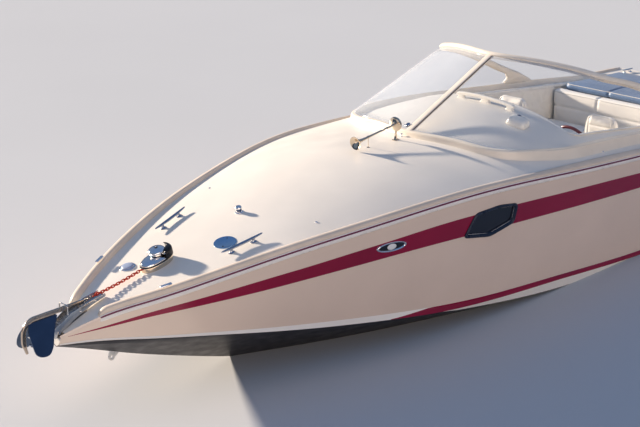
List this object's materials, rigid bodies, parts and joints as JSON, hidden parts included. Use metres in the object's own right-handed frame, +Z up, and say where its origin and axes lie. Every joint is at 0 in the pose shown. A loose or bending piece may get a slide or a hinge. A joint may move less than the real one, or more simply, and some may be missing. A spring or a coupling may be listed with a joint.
{
  "type": "cuddy cabin speedboat",
  "caption": "Cabin speedboat with a raked wraparound windscreen, bow windlass and anchor, open cockpit and steerable, tilting sterndrive.",
  "frame": {"origin": "on the centreline at the waterline, 4.5 m aft of the stem head", "axes": "+X towards the bow, +Y to port, +Z up"},
  "size_m": [9.896, 2.537, 2.7306],
  "materials": {
    "gelcoat": "glossy",
    "gelcoat_deck": "satin",
    "rail_vinyl": "satin",
    "frame_moulding": "satin",
    "windscreen_glass": "clear",
    "navy_frame": "glossy",
    "dark_glass": "tinted",
    "chrome": "polished",
    "stainless": "polished",
    "rubber": "matte",
    "chain_red": "worn",
    "vinyl_white": "soft",
    "vinyl_blue": "soft",
    "sole_carpet": "matte",
    "black_plastic": "matte",
    "wheel_burgundy": "glossy",
    "aluminium": "satin",
    "cast_grey": "painted",
    "drive_black": "semi-gloss",
    "propeller_steel": "polished"
  },
  "bodies": {
    "boat": {"anchor": "stainless", "anchor_chain": "chain_red", "bench_back": "vinyl_white", "bench_base": "gelcoat_deck", "bench_cushion": "vinyl_white", "berth_cushions": "vinyl_white", "bow_cleats": "chrome", "bow_eye": "stainless", "bow_light": "chrome", "bow_roller_channel": "stainless", "cabin_bulkhead": "gelcoat_deck", "cabin_door_hinges": "stainless", "cabin_window_frames": "navy_frame", "cabin_window_glass": "dark_glass", "cockpit_sides": "gelcoat_deck", "cockpit_sole": "sole_carpet", "compass_pod": "gelcoat_deck", "deck": "gelcoat_deck", "deck_plate": "stainless", "docking_lights": "chrome", "engine": "cast_grey", "engine_hatch_frame": "gelcoat_deck", "engine_hatch_hinges": "stainless", "foot_switch": "chrome", "gimbal_housing": "drive_black", "hatch_grip": "gelcoat_deck", "helm_console": "gelcoat_deck", "helm_seat_pedestal": "aluminium", "horn": "chrome", "hull_bottom": "gelcoat", "hull_topsides_aft": "gelcoat", "hull_topsides_forward": "gelcoat", "mullion_knob": "chrome", "passenger_seat_pedestal": "aluminium", "rub_rails": "rail_vinyl", "steering_column": "black_plastic", "stern_cleats": "chrome", "stern_eyes": "stainless", "swim_platform": "gelcoat_deck", "throttle": "chrome", "toe_rails": "gelcoat_deck", "windlass_base": "chrome", "windscreen_coaming": "frame_moulding", "windscreen_glass": "windscreen_glass", "windscreen_mullion": "frame_moulding", "windscreen_top_rail": "frame_moulding"},
    "steering_wheel": {"steering_wheel": "wheel_burgundy"},
    "windlass_gypsy": {"windlass_gypsy": "chrome"},
    "bow_roller": {"bow_roller": "rubber"},
    "engine_lid": {"engine_hatch": "gelcoat_deck", "sunpad": "vinyl_blue"},
    "cabin_door": {"cabin_door": "gelcoat_deck"},
    "helm_seat": {"helm_seat": "vinyl_white"},
    "passenger_seat": {"passenger_seat": "vinyl_white"},
    "gimbal_ring": {"gimbal_ring": "drive_black"},
    "drive_leg": {"drive_leg": "drive_black"},
    "propeller": {"propeller": "propeller_steel"},
    "trim_barrels": {"trim_barrels": "stainless"},
    "trim_rods": {"trim_rods": "stainless"}
  },
  "joints": [
    {"name": "steering", "type": "hinge", "parent": "boat", "child": "gimbal_ring", "pos_m": [-4.54, 0, -0.07], "axis": [0, 0, 1], "range_deg": [-28, 28]},
    {"name": "trim", "type": "hinge", "parent": "gimbal_ring", "child": "drive_leg", "pos_m": [-4.54, 0, -0.07], "axis": [0, 1, 0], "range_deg": [-4, 45]},
    {"name": "propeller_spin", "type": "hinge", "parent": "drive_leg", "child": "propeller", "pos_m": [-5.045, 0, -0.62], "axis": [1, 0, 0], "continuous": true},
    {"name": "trim_barrel_swing", "type": "hinge", "parent": "gimbal_ring", "child": "trim_barrels", "pos_m": [-4.55, 0, -0.215], "axis": [0, 1, 0], "range_deg": [-5, 42]},
    {"name": "trim_rod_slide", "type": "slide", "parent": "trim_barrels", "child": "trim_rods", "axis": [-0.9986, 0, -0.0535], "range_m": [-0.0116, 0.1103]},
    {"name": "steering_wheel_turn", "type": "hinge", "parent": "boat", "child": "steering_wheel", "pos_m": [-0.8, 0.65, 1.085], "axis": [-0.9063, 0, 0.4226], "range_deg": [-450, 450]},
    {"name": "engine_hatch_lift", "type": "hinge", "parent": "boat", "child": "engine_lid", "pos_m": [-3.974, 0, 0.868], "axis": [0, -1, 0], "range_deg": [0, 60]},
    {"name": "cabin_door_swing", "type": "hinge", "parent": "boat", "child": "cabin_door", "pos_m": [-0.434, -0.432, 0.76], "axis": [0, 0, 1], "range_deg": [0, 100]},
    {"name": "helm_seat_swivel", "type": "hinge", "parent": "boat", "child": "helm_seat", "pos_m": [-1.3, 0.52, 0.6], "axis": [0, 0, 1], "continuous": true},
    {"name": "passenger_seat_swivel", "type": "hinge", "parent": "boat", "child": "passenger_seat", "pos_m": [-1.3, -0.52, 0.6], "axis": [0, 0, 1], "continuous": true},
    {"name": "windlass_spin", "type": "hinge", "parent": "boat", "child": "windlass_gypsy", "pos_m": [3.53076, 0, 0.98629], "axis": [0.2091, 0, 0.9779], "continuous": true},
    {"name": "bow_roller_spin", "type": "hinge", "parent": "boat", "child": "bow_roller", "pos_m": [4.495, 0, 0.745], "axis": [0, 1, 0], "continuous": true}
  ],
  "couplings": [
    {"joint": "trim_barrel_swing", "follows": "trim", "ratio": 0.90261},
    {"joint": "trim_rod_slide", "follows": "trim", "m_per_rad": 0.13794},
    {"joint": "steering_wheel_turn", "follows": "steering", "ratio": -16}
  ]
}
